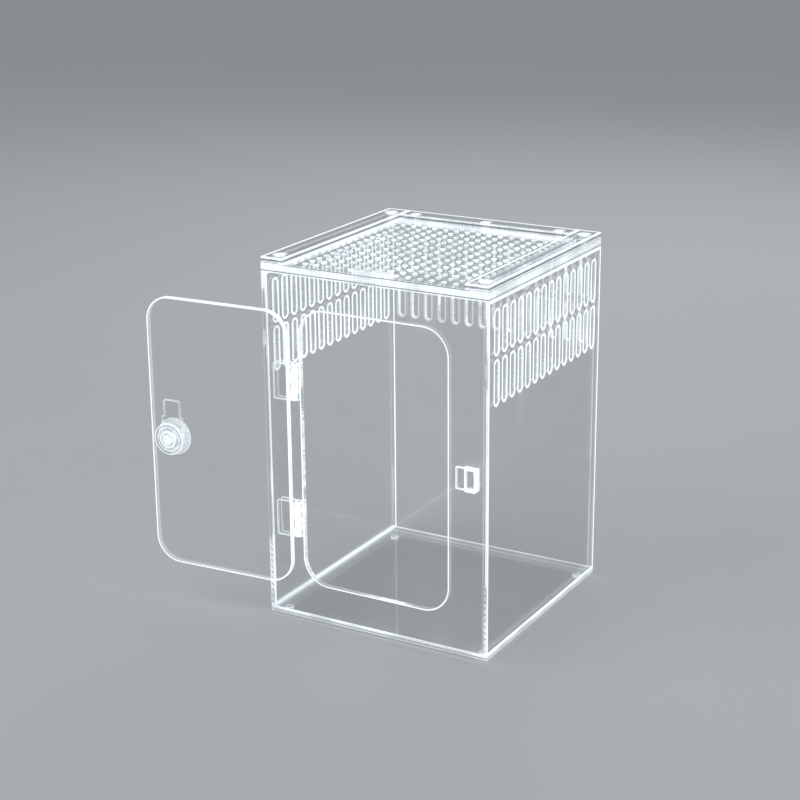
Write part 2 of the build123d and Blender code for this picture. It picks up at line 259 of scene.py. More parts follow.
def makeEdgeGroup(settings):
    group, given, out = newGroup(
        "cutEdge",
        {"Position": "Vector", "Normal": "Vector", "Axis": "Vector", "Low": "Float", "High": "Float",
         "Glued Low": "Vector", "Glued High": "Vector"},
        {"Edge": "Float", "Across": "Float", "Glued": "Float", "Streak": "Float", "Drift": "Float"},
    )
    position, normal, axis = (given.outputs[label] for label in ("Position", "Normal", "Axis"))
    facing = calc(group, "ABSOLUTE", vectorCalc(group, "DOT_PRODUCT", normal, axis))
    edge = ramp(group, facing, *settings["cutFrom"])
    along = vectorCalc(group, "DOT_PRODUCT", position, axis)
    span = calc(group, "SUBTRACT", given.outputs["High"], given.outputs["Low"])
    across = calc(group, "DIVIDE", calc(group, "SUBTRACT", along, given.outputs["Low"]), span, clamp=True)
    # glued: the point lies on a glued plane and its face looks along that plane's axis
    least = (settings["gluedFacing"],) * 3
    flat = vectorCalc(group, "SUBTRACT", vectorCalc(group, "ABSOLUTE", normal), least)
    looks = vectorCalc(group, "SIGN", vectorCalc(group, "MAXIMUM", flat, (0, 0, 0)))
    within = (settings["gluedWithin"],) * 3
    parts = []
    for label in ("Glued Low", "Glued High"):
        gap = vectorCalc(group, "ABSOLUTE", vectorCalc(group, "SUBTRACT", position, given.outputs[label]))
        nearer = vectorCalc(group, "MAXIMUM", vectorCalc(group, "SUBTRACT", within, gap), (0, 0, 0))
        parts.append(vectorCalc(group, "DOT_PRODUCT", vectorCalc(group, "SIGN", nearer), looks))
    glued = calc(group, "ADD", *parts, clamp=True)
    # streaks: noise on the position with its share along the thickness taken out
    through = vectorCalc(group, "MULTIPLY", axis, vectorCalc(group, "MULTIPLY", position, axis))
    plane = vectorCalc(group, "SUBTRACT", position, through)
    fine = addNode(group, "ShaderNodeTexNoise", {
        "Vector": plane, "Scale": settings["streakScale"], "Detail": settings["streakDetail"]})
    broad = addNode(group, "ShaderNodeTexNoise", {
        "Vector": position, "Scale": settings["driftScale"], "Detail": settings["driftDetail"]})
    streak = ramp(group, fine.outputs["Fac"], *settings["streakRange"])
    drift = ramp(group, broad.outputs["Fac"], *settings["driftRange"])
    made = {"Edge": edge, "Across": across, "Glued": glued, "Streak": streak, "Drift": drift}
    for label, value in made.items():
        group.links.new(value, out.inputs[label])
    return group


# Bubbles caught in the glue along an upright corner: a row of leaning dashes, uneven in size
bubbleSettings = {
    "pitch": 0.0052,
    "reach": 0.0011,
    "lean": 0.9 * 0.004,
    "endAt": 0.0996,
    "chance": (0.15, 1.0),
    "soft": 0.0002,
    "across": (0.34, 0.16),
}


def makeBubbleGroup(settings):
    group, given, out = newGroup("glueBubbles", {"Position": "Vector", "Across": "Float"}, {"Bubble": "Float"})
    split = addNode(group, "ShaderNodeSeparateXYZ", {0: given.outputs["Position"]})
    x, y, z = split.outputs
    off = calc(group, "SUBTRACT", given.outputs["Across"], 0.5)
    leaning = calc(group, "ADD", z, times(group, off, settings["lean"]))
    counted = calc(group, "DIVIDE", leaning, settings["pitch"])
    cell = calc(group, "FRACT", counted)
    height = times(group, calc(group, "ABSOLUTE", calc(group, "SUBTRACT", cell, 0.5)), settings["pitch"])
    place = addNode(group, "ShaderNodeCombineXYZ", {0: x, 2: calc(group, "FLOOR", counted)})
    chance = addNode(group, "ShaderNodeTexWhiteNoise", {"Vector": place.outputs[0]}, noise_dimensions="3D")
    reach = times(group, ramp(group, chance.outputs["Value"], *settings["chance"]), settings["reach"])
    inside = ramp(group, calc(group, "SUBTRACT", height, reach), settings["soft"], -settings["soft"])
    middle = ramp(group, calc(group, "ABSOLUTE", off), *settings["across"])
    ends = calc(group, "GREATER_THAN", calc(group, "ABSOLUTE", y), settings["endAt"])
    group.links.new(times(group, inside, middle, ends), out.inputs["Bubble"])
    return group


# Use marks on a broad face: soft smudges, a few hairline scratches and specks of dust
markSettings = {
    "smudgeScale": 28.0,
    "smudgeDetail": 4.0,
    "smudgeDistortion": 0.6,
    "smudgeRange": (0.50, 0.78),
    "scratchTurn": (0.35, 0.5, 0.75),
    "scratchStretch": (1400.0, 60.0, 60.0),
    "scratchRange": (0.82, 0.86),
    "scratchShare": 0.35,
    "speckScale": 190.0,
    "speckChance": (0.93, 0.96),
    "speckReach": (0.05, 0.03),
}


def makeMarkGroup(settings):
    group, given, out = newGroup("useMarks", {"Position": "Vector"}, {"Smudge": "Float", "Mark": "Float"})
    position = given.outputs["Position"]
    cloud = addNode(group, "ShaderNodeTexNoise", {
        "Vector": position, "Scale": settings["smudgeScale"], "Detail": settings["smudgeDetail"],
        "Distortion": settings["smudgeDistortion"]})
    smudge = ramp(group, cloud.outputs["Fac"], *settings["smudgeRange"])
    turned = addNode(group, "ShaderNodeMapping", {"Vector": position, "Rotation": settings["scratchTurn"]})
    stretched = vectorCalc(group, "MULTIPLY", turned.outputs["Vector"], settings["scratchStretch"])
    lines = addNode(group, "ShaderNodeTexNoise", {"Vector": stretched, "Scale": 1.0, "Detail": 0.0})
    scratch = ramp(group, lines.outputs["Fac"], *settings["scratchRange"])
    cells = addNode(group, "ShaderNodeTexVoronoi", {"Vector": position, "Scale": settings["speckScale"]})
    split = addNode(group, "ShaderNodeSeparateColor", {0: cells.outputs["Color"]})
    chosen = ramp(group, split.outputs[0], *settings["speckChance"])
    speck = times(group, ramp(group, cells.outputs["Distance"], *settings["speckReach"]), chosen)
    mark = calc(group, "MAXIMUM", times(group, scratch, settings["scratchShare"]), speck)
    group.links.new(smudge, out.inputs["Smudge"])
    group.links.new(mark, out.inputs["Mark"])
    return group


edgeGroup = makeEdgeGroup(edgeSettings)
bubbleGroup = makeBubbleGroup(bubbleSettings)
markGroup = makeMarkGroup(markSettings)
print("shader groups made")

# Clear sheet: faces that nearly vanish and mirror a little, a painted highlight line along every cut outline,
# and cut edges painted in bright and dark bands that glow by emission, as if they gathered the light
sheetSettings = {
    # white and dark: painted highlight and painted shade of the cut edges; glow, glowStrength: their painted glow
    "white": (0.93, 0.96, 0.97, 1),
    "dark": (0.10, 0.12, 0.13, 1),
    "mirror": (0.66, 0.70, 0.72, 1),
    "glow": (0.86, 0.95, 1.00, 1),
    "glowStrength": 0.75,
    "density": 1.49,
    "faceRoughness": 0.03,
    "smudgeRoughness": 0.12,
    "markRoughness": 0.5,
    "edgeRoughness": 0.32,
    "mirrorLeast": 0.055,
    "mirrorMost": 0.70,
    "mirrorPower": 5.0,
    "smudgeSeen": 0.02,
    "markSeen": 0.10,
    "edgeLeast": 0.05,
    "borderFade": (0.08, 0.38),
    "bubbleHeights": (0.10, 0.06),
    "toothFade": (-0.10, 0.06),
}
knuckleSettings = {
    "reach": 0.00355,
    "soft": 0.0001,
    "pitch": 0.0075,
    "ends": 0.13,
    "endFade": 0.06,
    "pinAt": 0.30,
    "pinEdge": (0.13, 0.07),
    "pinLine": (0.035, 0.012),
    "shade": 0.6,
}
hingeJoint, latchJoint = (
    next(joint for joint in record["behaviour"]["joints"] if joint["name"] == name)
    for name in ("door_hinge", "latch_turn"))


def knuckleShine(tree, position, facing, look, settings=knuckleSettings):
    # barrels of the hinge, counted from the leaf's lower end: painted highlight at their ends, and between
    # them painted shade in bars where the pin's edges would show through
    offset = vectorCalc(tree, "SUBTRACT", position, tuple(hingeJoint["pos_m"]))
    fromAxis = vectorCalc(tree, "LENGTH", vectorCalc(tree, "MULTIPLY", offset, (1, 1, 0)))
    barrel = ramp(tree, fromAxis, settings["reach"] + settings["soft"], settings["reach"])
    z = addNode(tree, "ShaderNodeSeparateXYZ", {0: position}).outputs[2]
    height = calc(tree, "SUBTRACT", z, look["bottom"])
    place = calc(tree, "FRACT", calc(tree, "DIVIDE", height, settings["pitch"]))
    toEnd = calc(tree, "MINIMUM", place, calc(tree, "SUBTRACT", 1.0, place))
    middle = ramp(tree, toEnd, settings["ends"], settings["ends"] + settings["endFade"])
    fromPin = calc(tree, "ABSOLUTE", calc(tree, "SUBTRACT", facing, settings["pinAt"]))
    pinEdge = ramp(tree, fromPin, *settings["pinEdge"])
    pinLine = ramp(tree, facing, *settings["pinLine"])
    bars = times(tree, calc(tree, "MAXIMUM", pinEdge, pinLine), middle, look["bars"])
    return barrel, calc(tree, "SUBTRACT", 1.0, bars)


def clearSheet(name, axis, low, high, gluedLow, gluedHigh, look, settings=sheetSettings):
    material, tree, shader = newMaterial(name)
    place = addNode(tree, "ShaderNodeTexCoord")
    position, normal = place.outputs["Object"], place.outputs["Normal"]
    cut = addNode(tree, "ShaderNodeGroup", node_tree=edgeGroup)
    for label, value in (("Position", position), ("Normal", normal), ("Axis", axis), ("Low", low),
                         ("High", high), ("Glued Low", gluedLow), ("Glued High", gluedHigh)):
        put(tree, cut.inputs[label], value)
    marks = addNode(tree, "ShaderNodeGroup", {"Position": position}, node_tree=markGroup)
    edge, across = cut.outputs["Edge"], cut.outputs["Across"]
    free = calc(tree, "SUBTRACT", 1.0, cut.outputs["Glued"])
    layer = addNode(tree, "ShaderNodeLayerWeight", {"Blend": 0.5})
    facing = layer.outputs["Facing"]
    bore = meshMark(tree, "bore")

    # cut faces: painted highlight and painted shade in bands across the thickness, broken up by streaks and a slow
    # drift
    bright, dark = bandTable(tree, across, look["bands"])
    z = addNode(tree, "ShaderNodeSeparateXYZ", {0: position}).outputs[2]
    # painted highlight: stretches of full brightness up an upright end, between lined ones
    if "stretches" in look:  # along an upright end, full bright stretches change with lined ones
        full, _ = bandTable(tree, calc(tree, "DIVIDE", z, wholeHeight), look["stretches"])
        lined, _ = bandTable(tree, across, look["lined"])
        bright = blend(tree, full, lined, bright)
    if look.get("bubbles"):
        bubbles = addNode(tree, "ShaderNodeGroup", {"Position": position, "Across": across},
                          node_tree=bubbleGroup).outputs["Bubble"]
        bubbles = times(tree, bubbles, full, ramp(tree, z, *settings["bubbleHeights"]))
        bright = times(tree, bright, calc(tree, "SUBTRACT", 1.0, bubbles))
        dark = calc(tree, "MAXIMUM", dark, times(tree, bubbles, look["bubbles"]))
    if "boreBands" in look:
        boreBright, boreDark = bandTable(tree, across, look["boreBands"])
        bright = blend(tree, bore, bright, boreBright)
        dark = blend(tree, bore, dark, boreDark)
    # painted highlight in the upper part of a round hole's wall, reaching lower where the wall is seen face on
    if "tooth" in look:  # light gathers in the upper part of a round hole and runs out at its sides
        lower = times(tree, calc(tree, "SUBTRACT", 1.0, facing), look["tooth"])
        over = calc(tree, "SUBTRACT", calc(tree, "ADD", across, lower), 1.0)
        tooth = ramp(tree, over, *settings["toothFade"])
        bright = blend(tree, bore, bright, tooth)
        dark = times(tree, dark, calc(tree, "SUBTRACT", 1.0, bore))
    streak = ramp(tree, cut.outputs["Streak"], 0, 1, 1 - look["streak"], 1.0)
    drift = ramp(tree, cut.outputs["Drift"], 0, 1, 1 - look["drift"], 1.0)
    bright = times(tree, bright, streak, drift)
    # painted highlight and painted shade of the hinge barrels
    if "bars" in look:
        barrel, shine = knuckleShine(tree, position, facing, look)
        bright = blend(tree, barrel, bright, times(tree, shine, drift))
        shade = times(tree, barrel, calc(tree, "SUBTRACT", 1.0, shine), knuckleSettings["shade"])
        dark = calc(tree, "MAXIMUM", dark, shade)

    # broad faces: the painted highlight line beside each outline
    fade = ramp(tree, meshMark(tree, "rim"), *settings["borderFade"])
    bored = calc(tree, "SUBTRACT", 1.0, times(tree, bore, 1 - look["boreLine"]))
    line = times(tree, fade, bored, look["line"])
    lit = blend(tree, edge, line, bright)

    # cut edges take white in their painted highlight bands and dark in their painted shade bands; lines and bright
    # bands glow by emission though no lamp
    tone = blendColour(tree, bright, settings["dark"], settings["white"])
    faceTone = blendColour(tree, fade, settings["mirror"], settings["white"])
    tree.links.new(blendColour(tree, edge, faceTone, tone), shader.inputs["Base Color"])
    tree.links.new(blendColour(tree, lit, (0, 0, 0, 1), settings["glow"]), shader.inputs["Emission Color"])
    shader.inputs["Emission Strength"].default_value = settings["glowStrength"]
    shader.inputs["IOR"].default_value = settings["density"]
    # faces act as a faint mirror, edges as a milky solid made bright by their painted glow
    metal = times(tree, calc(tree, "SUBTRACT", 1.0, edge), calc(tree, "SUBTRACT", 1.0, fade))
    tree.links.new(metal, shader.inputs["Metallic"])
    smudge, mark = marks.outputs["Smudge"], marks.outputs["Mark"]
    handled = calc(tree, "ADD", times(tree, smudge, settings["smudgeRoughness"]), settings["faceRoughness"])
    faceRough = calc(tree, "ADD", handled, times(tree, mark, settings["markRoughness"]))
    tree.links.new(blend(tree, edge, faceRough, settings["edgeRoughness"]), shader.inputs["Roughness"])

    # a face mirrors more as it is seen flatter, by the fifth power of one less the cosine
    flatter = calc(tree, "POWER", facing, settings["mirrorPower"])
    mirror = calc(tree, "ADD", times(tree, flatter, settings["mirrorMost"]), settings["mirrorLeast"])
    dirt = calc(tree, "ADD", times(tree, smudge, settings["smudgeSeen"]), times(tree, mark, settings["markSeen"]))
    inside = addNode(tree, "ShaderNodeNewGeometry").outputs["Backfacing"]
    lineSeen = blend(tree, inside, 1.0, look["behindLine"])
    cutBehind = blend(tree, bore, look["behind"], look.get("boreBehind", look["behind"]))
    cutSeen = blend(tree, inside, 1.0, cutBehind)
    clean = calc(tree, "ADD", mirror, look["haze"])
    faceAlpha = calc(tree, "MAXIMUM", calc(tree, "ADD", clean, dirt), times(tree, line, lineSeen))
    freeShare = ramp(tree, free, 0, 1, look["gluedShare"], 1.0)
    edgeAlpha = times(tree, calc(tree, "MAXIMUM", bright, dark), cutSeen, freeShare)
    edgeAlpha = calc(tree, "MAXIMUM", edgeAlpha, settings["edgeLeast"])
    tree.links.new(blend(tree, edge, faceAlpha, edgeAlpha), shader.inputs["Alpha"])
    return material


# How the sheets look: line is the strength of the painted highlight outline beside a cut edge and boreLine
# its share round holes, behind, boreBehind and behindLine the shares that are left of an edge, a hole's wall
# or a line that faces away, border the width of the outline in metres, bands the (place, bright, dark) table
# of painted highlight and painted shade across the thickness, boreBands the same inside holes, streak and
# drift how much an edge's painted light varies, gluedShare what is left of a glued edge, and haze how milky the
# broad faces are
usualLook = {"boreLine": 1.0, "streak": 0.25, "drift": 0.15, "gluedShare": 0.25, "haze": 0.0}
plainBand = ((0.0, 1.0, 0.0), (1.0, 1.0, 0.0))
# painted highlight stretches up an upright end, as (height share, bright, dark)
sideStretches = ((0.0, 1.0, 0.0), (0.20, 1.0, 0.0), (0.23, 0.0, 0.0), (0.755, 0.0, 0.0), (0.765, 1.0, 0.0),
                 (0.80, 1.0, 0.0), (0.81, 0.0, 0.0), (0.905, 0.25, 0.0), (0.92, 1.0, 0.0), (1.0, 1.0, 0.0))
leftLook = {
    "line": 1.0, "behindLine": 0.16, "behind": 0.35, "boreBehind": 0.06, "border": 0.0026, "drift": 0.25,
    "streak": 0.30, "bubbles": 0.75, "bands": plainBand, "stretches": sideStretches,
    "lined": ((0.0, 0.55, 0.0), (0.22, 0.55, 0.0), (0.34, 0.12, 0.0), (0.62, 0.12, 0.0), (0.74, 0.95, 0.0),
              (1.0, 0.95, 0.0)),
    "boreBands": ((0.0, 1.0, 0.0), (0.16, 0.9, 0.0), (0.30, 0.50, 0.0), (0.5, 0.58, 0.0), (0.70, 0.42, 0.0),
                  (0.84, 0.9, 0.0), (1.0, 1.0, 0.0)),
}
looks = {
    "left": leftLook,
    "right": dict(
        leftLook, bands=((0.0, 0.15, 0.0), (0.28, 0.2, 0.0), (0.40, 1.0, 0.0), (1.0, 1.0, 0.0)),
        lined=((0.0, 0.30, 0.0), (0.20, 0.2, 0.0), (0.50, 0.08, 0.0), (0.58, 1.0, 0.0), (1.0, 1.0, 0.0))),
    "back": {"line": 0.55, "behindLine": 0.22, "behind": 0.12, "border": 0.0019, "bands": plainBand,
             "drift": 0.30},
    "front": {"line": 1.0, "behindLine": 0.18, "behind": 0.22, "border": 0.0014, "bands": plainBand,
              "drift": 0.55, "streak": 0.4},
    "door": {"line": 1.0, "behindLine": 0.25, "behind": 0.30, "border": 0.0014, "bands": plainBand,
             "drift": 0.10, "streak": 0.15},
    "base": {"line": 0.95, "behindLine": 0.5, "behind": 0.35, "border": 0.0014, "drift": 0.2,
             "bands": ((0.0, 0.8, 0.0), (0.20, 0.8, 0.0), (0.32, 0.35, 0.40), (0.44, 0.4, 0.35),
                       (0.56, 1.0, 0.0), (1.0, 1.0, 0.0))},
    "ring": {"line": 0.9, "behindLine": 0.2, "behind": 0.14, "border": 0.0011, "boreLine": 0.12,
             "bands": ((0.0, 1.0, 0.0), (0.24, 1.0, 0.0), (0.32, 0.1, 0.75), (0.42, 0.1, 0.75), (0.52, 1.0, 0.0),
                       (1.0, 1.0, 0.0)),
             "boreBands": ((0.0, 0.25, 0.0), (0.14, 0.03, 0.0), (0.80, 0.03, 0.0), (1.0, 0.15, 0.0))},
    "spacer": {"line": 0.5, "behindLine": 0.1, "behind": 0.10, "border": 0.0006, "boreLine": 0.3,
               "bands": ((0.0, 1.0, 0.0), (0.86, 1.0, 0.0), (0.93, 0.15, 0.6), (1.0, 0.15, 0.6))},
    "rail": {"line": 1.0, "behindLine": 0.25, "behind": 0.14, "border": 0.0026, "boreLine": 0.2, "haze": 0.16,
             "bands": ((0.0, 0.8, 0.0), (0.20, 0.8, 0.0), (0.40, 0.1, 0.75), (0.58, 0.1, 0.75), (0.72, 1.0, 0.0),
                       (1.0, 1.0, 0.0))},
    "lid": {"line": 0.9, "behindLine": 0.15, "behind": 0.05, "border": 0.0008, "boreLine": 0.10,
            "bands": ((0.0, 1.0, 0.0), (0.70, 1.0, 0.0), (0.78, 0.1, 0.75), (0.94, 0.1, 0.75), (1.0, 1.0, 0.0)),
            "tooth": 0.85},
    "block": {"line": 1.0, "behindLine": 0.5, "behind": 0.5, "border": 0.0010, "bands": plainBand,
              "drift": 0.2},
    "tongue": {"line": 0.75, "behindLine": 0.5, "behind": 0.6, "border": 0.0009, "bands": plainBand,
               "drift": 0.45, "streak": 0.5},
    "wallLeaf": {"line": 0.8, "behindLine": 0.35, "behind": 0.4, "border": 0.0008, "bands": plainBand,
                 "drift": 0.45, "streak": 0.4, "bars": 0.5},
    "doorLeaf": {"line": 0.95, "behindLine": 0.5, "behind": 0.5, "border": 0.0009, "bands": plainBand,
                 "drift": 0.25, "bars": 1.0},
}
doorAxis = tuple(latchJoint["axis"])
sideways, ahead, upright = (1.0, 0.0, 0.0), (0.0, 1.0, 0.0), (0.0, 0.0, 1.0)

# Each sheet: its look, the axis it is thin along, and the axes of its glued ends
sheetTable = {
    "base_panel": ("base", upright, ""),
    "left_wall": ("left", sideways, "z"),
    "right_wall": ("right", sideways, "z"),
    "back_wall": ("back", ahead, "xz"),
    "front_wall": ("front", ahead, "xz"),
    "door_panel": ("door", doorAxis, ""),
    "top_ring": ("ring", upright, ""),
    "left_rail_spacer": ("spacer", upright, ""),
    "right_rail_spacer": ("spacer", upright, ""),
    "back_rail_spacer": ("spacer", upright, "x"),
    "left_cover_rail": ("rail", upright, ""),
    "right_cover_rail": ("rail", upright, ""),
    "back_cover_strip": ("rail", upright, "x"),
    "sliding_lid": ("lid", upright, ""),
    "lid_handle": ("block", upright, ""),
    "keeper_spacer": ("block", ahead, ""),
    "keeper_lip": ("block", ahead, ""),
    "keeper_cap": ("block", ahead, ""),
    "latch_tongue": ("tongue", doorAxis, ""),
    "upper_hinge_wall_leaf": ("wallLeaf", ahead, ""),
    "lower_hinge_wall_leaf": ("wallLeaf", ahead, ""),
    "upper_hinge_door_leaf": ("doorLeaf", doorAxis, ""),
    "lower_hinge_door_leaf": ("doorLeaf", doorAxis, ""),
}
leafThickness = 0.002
farAway = 99.0
wholeHeight = cadBox[1][2]
onPlane = 2e-5
flatFrom = 0.999
endFrom = 0.99
holeInset = 0.0004
sharpAngle = 25


def spread(node, axis):
    # how far the node reaches along an axis
    data = frame["nodes"][node].data
    points = np.empty(len(data.vertices) * 3)
    data.vertices.foreach_get("co", points)
    along = points.reshape(-1, 3) @ np.array(axis)
    return along.min(), along.max()


def borderedCopy(node, axis, low, high, glued, border):
    # the CAD sheet's own mesh, welded, with a narrow border laid inside every outline of its two broad
    # faces; "rim" is 1 on the outlines, but not along glued ends, and 0 at the border's inner side, and
    # "bore" is 1 on the holes
    work = bmesh.new()
    work.from_mesh(frame["nodes"][node].data)
    bmesh.ops.remove_doubles(work, verts=work.verts, dist=weldWithin)
    work.normal_update()
    along = Vector(axis)
    broad = []
    for face in work.faces:
        height = face.verts[0].co.dot(along)
        if abs(face.normal.dot(along)) > flatFrom and min(abs(height - low), abs(height - high)) < onPlane:
            broad.append(face)
    bmesh.ops.inset_region(work, faces=broad, thickness=border, use_even_offset=True, use_boundary=True)
    data = bpy.data.meshes.new("clear." + node)
    work.to_mesh(data)
    work.free()

    count = len(data.polygons)
    normals, centres = np.empty(count * 3), np.empty(count * 3)
    totals, corners = np.empty(count, np.int32), np.empty(len(data.loops), np.int32)
    data.polygons.foreach_get("normal", normals)
    data.polygons.foreach_get("center", centres)
    data.polygons.foreach_get("loop_total", totals)
    data.loops.foreach_get("vertex_index", corners)
    heights = centres.reshape(-1, 3) @ np.array(axis)
    flat = np.abs(normals.reshape(-1, 3) @ np.array(axis)) > flatFrom
    flat &= np.minimum(abs(heights - low), abs(heights - high)) < onPlane
    lowest, highest = (np.array(corner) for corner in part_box(node))
    held = np.zeros(count, bool)
    for i in ("xyz".index(letter) for letter in glued):
        ends = np.minimum(abs(centres[i::3] - lowest[i]), abs(centres[i::3] - highest[i])) < onPlane
        held |= ends & (abs(normals[i::3]) > endFrom)
    rim = np.zeros(len(data.vertices), np.float32)
    rim[corners[np.repeat(~flat & ~held, totals)]] = 1.0
    points = np.empty(len(data.vertices) * 3)
    data.vertices.foreach_get("co", points)
    toSide = np.minimum(points.reshape(-1, 3) - lowest, highest - points.reshape(-1, 3))
    wide = np.array(axis) < 0.5
    bore = rim * (toSide[:, wide].min(1) > holeInset)
    for label, values in (("rim", rim), ("bore", bore.astype(np.float32))):
        data.attributes.new(label, "FLOAT", "POINT").data.foreach_set("value", values)
    data.shade_smooth()
    data.set_sharp_from_angle(angle=radians(sharpAngle))
    return data


for node, (style, axis, glued) in sheetTable.items():
    low, high = spread(node, axis)
    if "leaf" in node:  # the plate lies on its panel, the knuckles stand out beyond it
        low, high = (high - leafThickness, high) if axis == ahead else (low, low + leafThickness)
    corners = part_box(node)
    ends = [tuple(corner[i] if "xyz"[i] in glued else farAway for i in range(3)) for corner in corners]
    look = {**usualLook, **looks[style], "bottom": corners[0][2]}
    data = borderedCopy(node, axis, low, high, glued, look["border"])
    data.materials.append(clearSheet("sheet." + node, axis, low, high, *ends, look))
    settle(bpy.data.objects.new("clear." + node, data), node)
print("clear sheets made:", len(sheetTable))


# Clear moulded plastic of pins, discs, screws and feet: "glow" is how milky a place is and also how
# bright it is painted, in base colour and emission: painted highlight where high, painted shade where low
mouldingSettings = {
    # clear is the grey taken where glow is low, part of the painted shade; light is the colour of the painted glow
    "clear": (0.30, 0.33, 0.35, 1),
    "light": (0.86, 0.95, 1.0, 1),
    "density": 1.49,
    "flowScale": 420.0,
    "flowDetail": 3.0,
    "flowRange": (0.3, 0.7),
    "flowLeast": 0.80,
    "outline": (0.55, 0.95),
    "outlineMost": 0.8,
    "behind": 0.45,
    "smudgeRoughness": 0.15,
}


def clearMoulding(name, colour, least, roughness, strength, settings=mouldingSettings):
    material, tree, shader = newMaterial(name)
    position = addNode(tree, "ShaderNodeTexCoord").outputs["Object"]
    marks = addNode(tree, "ShaderNodeGroup", {"Position": position}, node_tree=markGroup)
    flow = addNode(tree, "ShaderNodeTexNoise", {
        "Vector": position, "Scale": settings["flowScale"], "Detail": settings["flowDetail"]})
    cloud = ramp(tree, flow.outputs["Fac"], *settings["flowRange"], settings["flowLeast"], 1.0)
    bright = times(tree, meshMark(tree, "glow"), cloud)
    tree.links.new(blendColour(tree, bright, settings["clear"], colour), shader.inputs["Base Color"])
    facing = addNode(tree, "ShaderNodeLayerWeight", {"Blend": 0.5}).outputs["Facing"]
    silhouette = ramp(tree, facing, *settings["outline"], 0.0, settings["outlineMost"])
    seen = calc(tree, "MAXIMUM", ramp(tree, bright, 0, 1, least, 1.0), silhouette)
    inside = addNode(tree, "ShaderNodeNewGeometry").outputs["Backfacing"]
    seen = times(tree, seen, blend(tree, inside, 1.0, settings["behind"]))
    tree.links.new(seen, shader.inputs["Alpha"])
    smudge = times(tree, marks.outputs["Smudge"], settings["smudgeRoughness"])
    tree.links.new(calc(tree, "ADD", smudge, roughness), shader.inputs["Roughness"])
    # painted glow: emission in the light colour, as strong as the place's glow
    light = blendColour(tree, bright, (0, 0, 0, 1), settings["light"])
    tree.links.new(light, shader.inputs["Emission Color"])
    shader.inputs["Emission Strength"].default_value = strength
    shader.inputs["IOR"].default_value = settings["density"]
    return material


discPlastic = clearMoulding("moulded.disc", (0.92, 0.95, 0.96, 1), 0.10, 0.10, 0.65)
pinPlastic = clearMoulding("moulded.pin", (0.86, 0.90, 0.92, 1), 0.60, 0.15, 0.12)
screwNylon = clearMoulding("nylon.screw", (0.93, 0.95, 0.95, 1), 0.35, 0.28, 0.60)
bumperClear = clearMoulding("bumper.foot", (0.90, 0.93, 0.94, 1), 0.20, 0.30, 0.60)
for node in ("upper_hinge_pin", "lower_hinge_pin"):
    slots = frame["nodes"][node].data.materials
    slots.clear()
    slots.append(pinPlastic)

# Turned parts of the latch, as (radius, level, glow) in millimetres; level runs out from the door
latchSettings = {
    "columns": 96,
    # glow 1 on rims and edges is painted highlight, glow 0 in grooves is painted shade
    "latch_knob": (
        (2.55, -1.15, 0.6), (15.2, -1.15, 0.8), (15.6, -0.85, 1), (15.6, 0.15, 1), (15.3, 0.45, 1), (13.9, 0.45, 1),
        (13.7, 0.20, 0.4), (13.3, 0.20, 0.4), (13.1, 0.45, 1), (11.5, 0.45, 0.9), (11.2, 0.60, 1), (11.2, 3.20, 1),
        (10.9, 3.45, 1), (10.5, 3.45, 1), (10.3, 3.05, 0), (9.8, 3.05, 0), (9.6, 3.45, 1), (7.8, 3.45, 0.8),
        (7.6, 3.05, 0), (7.0, 3.05, 0), (6.8, 3.45, 1), (5.4, 3.45, 0.7), (2.55, 3.45, 0.5)),
    "latch_inner_disc": (
        (2.55, -8.05, 0.2), (13.1, -8.05, 0.3), (13.4, -8.30, 1), (13.4, -9.40, 1), (13.15, -9.65, 1),
        (12.5, -9.65, 0.9), (12.3, -9.15, 0), (10.9, -9.15, 0), (10.7, -9.65, 0.9), (9.7, -9.65, 0.9),
        (9.5, -9.20, 0), (7.5, -9.20, 0), (7.3, -9.65, 0.6), (2.55, -9.65, 0.3)),
    "latch_nut": (
        (0, 6.15, 0.3), (2.55, 6.15, 0.3), (2.55, 3.45, 0.5), (4.75, 3.45, 1), (5.0, 3.70, 1), (5.0, 6.40, 0.8),
        (4.45, 6.95, 1), (3.6, 6.95, 0.5), (0, 6.95, 0.4)),
}
latchUp = np.array(upright)
latchOut = np.array(doorAxis)
latchFrame = (np.cross(latchUp, latchOut), latchUp, latchOut)
latchPlace = np.array(latchJoint["pos_m"])
for node in ("latch_knob", "latch_inner_disc", "latch_nut"):
    arrays = profileArrays(latchSettings[node], latchSettings["columns"])
    turnedPiece("turned." + node, node, discPlastic, *arrays, [latchPlace], latchFrame,
                closed=node != "latch_nut")


def bar(offset, half, soft=0.0001):
    # 1 inside a bar of the given half width, falling to 0 over a soft edge
    return np.clip((half - np.abs(offset)) / soft + 0.5, 0, 1)


def recessed(radius, level, glow, reach, half, depth, slots, sign=1):
    # press a slot, or a cross of two, into the face of a head: level less depth times the slot's mask, and glow
    # times one less 0.85 times the mask, a painted shade in the recess
    t = np.arange(radius.shape[1]) / radius.shape[1] * tau
    x, y = radius * np.cos(t), radius * np.sin(t)
    mask = bar(y, half) * bar(x, reach)
    if slots == 2:
        mask = np.maximum(mask, bar(x, half) * bar(y, reach))
    return level - sign * depth * mask, glow * (1 - 0.85 * mask)


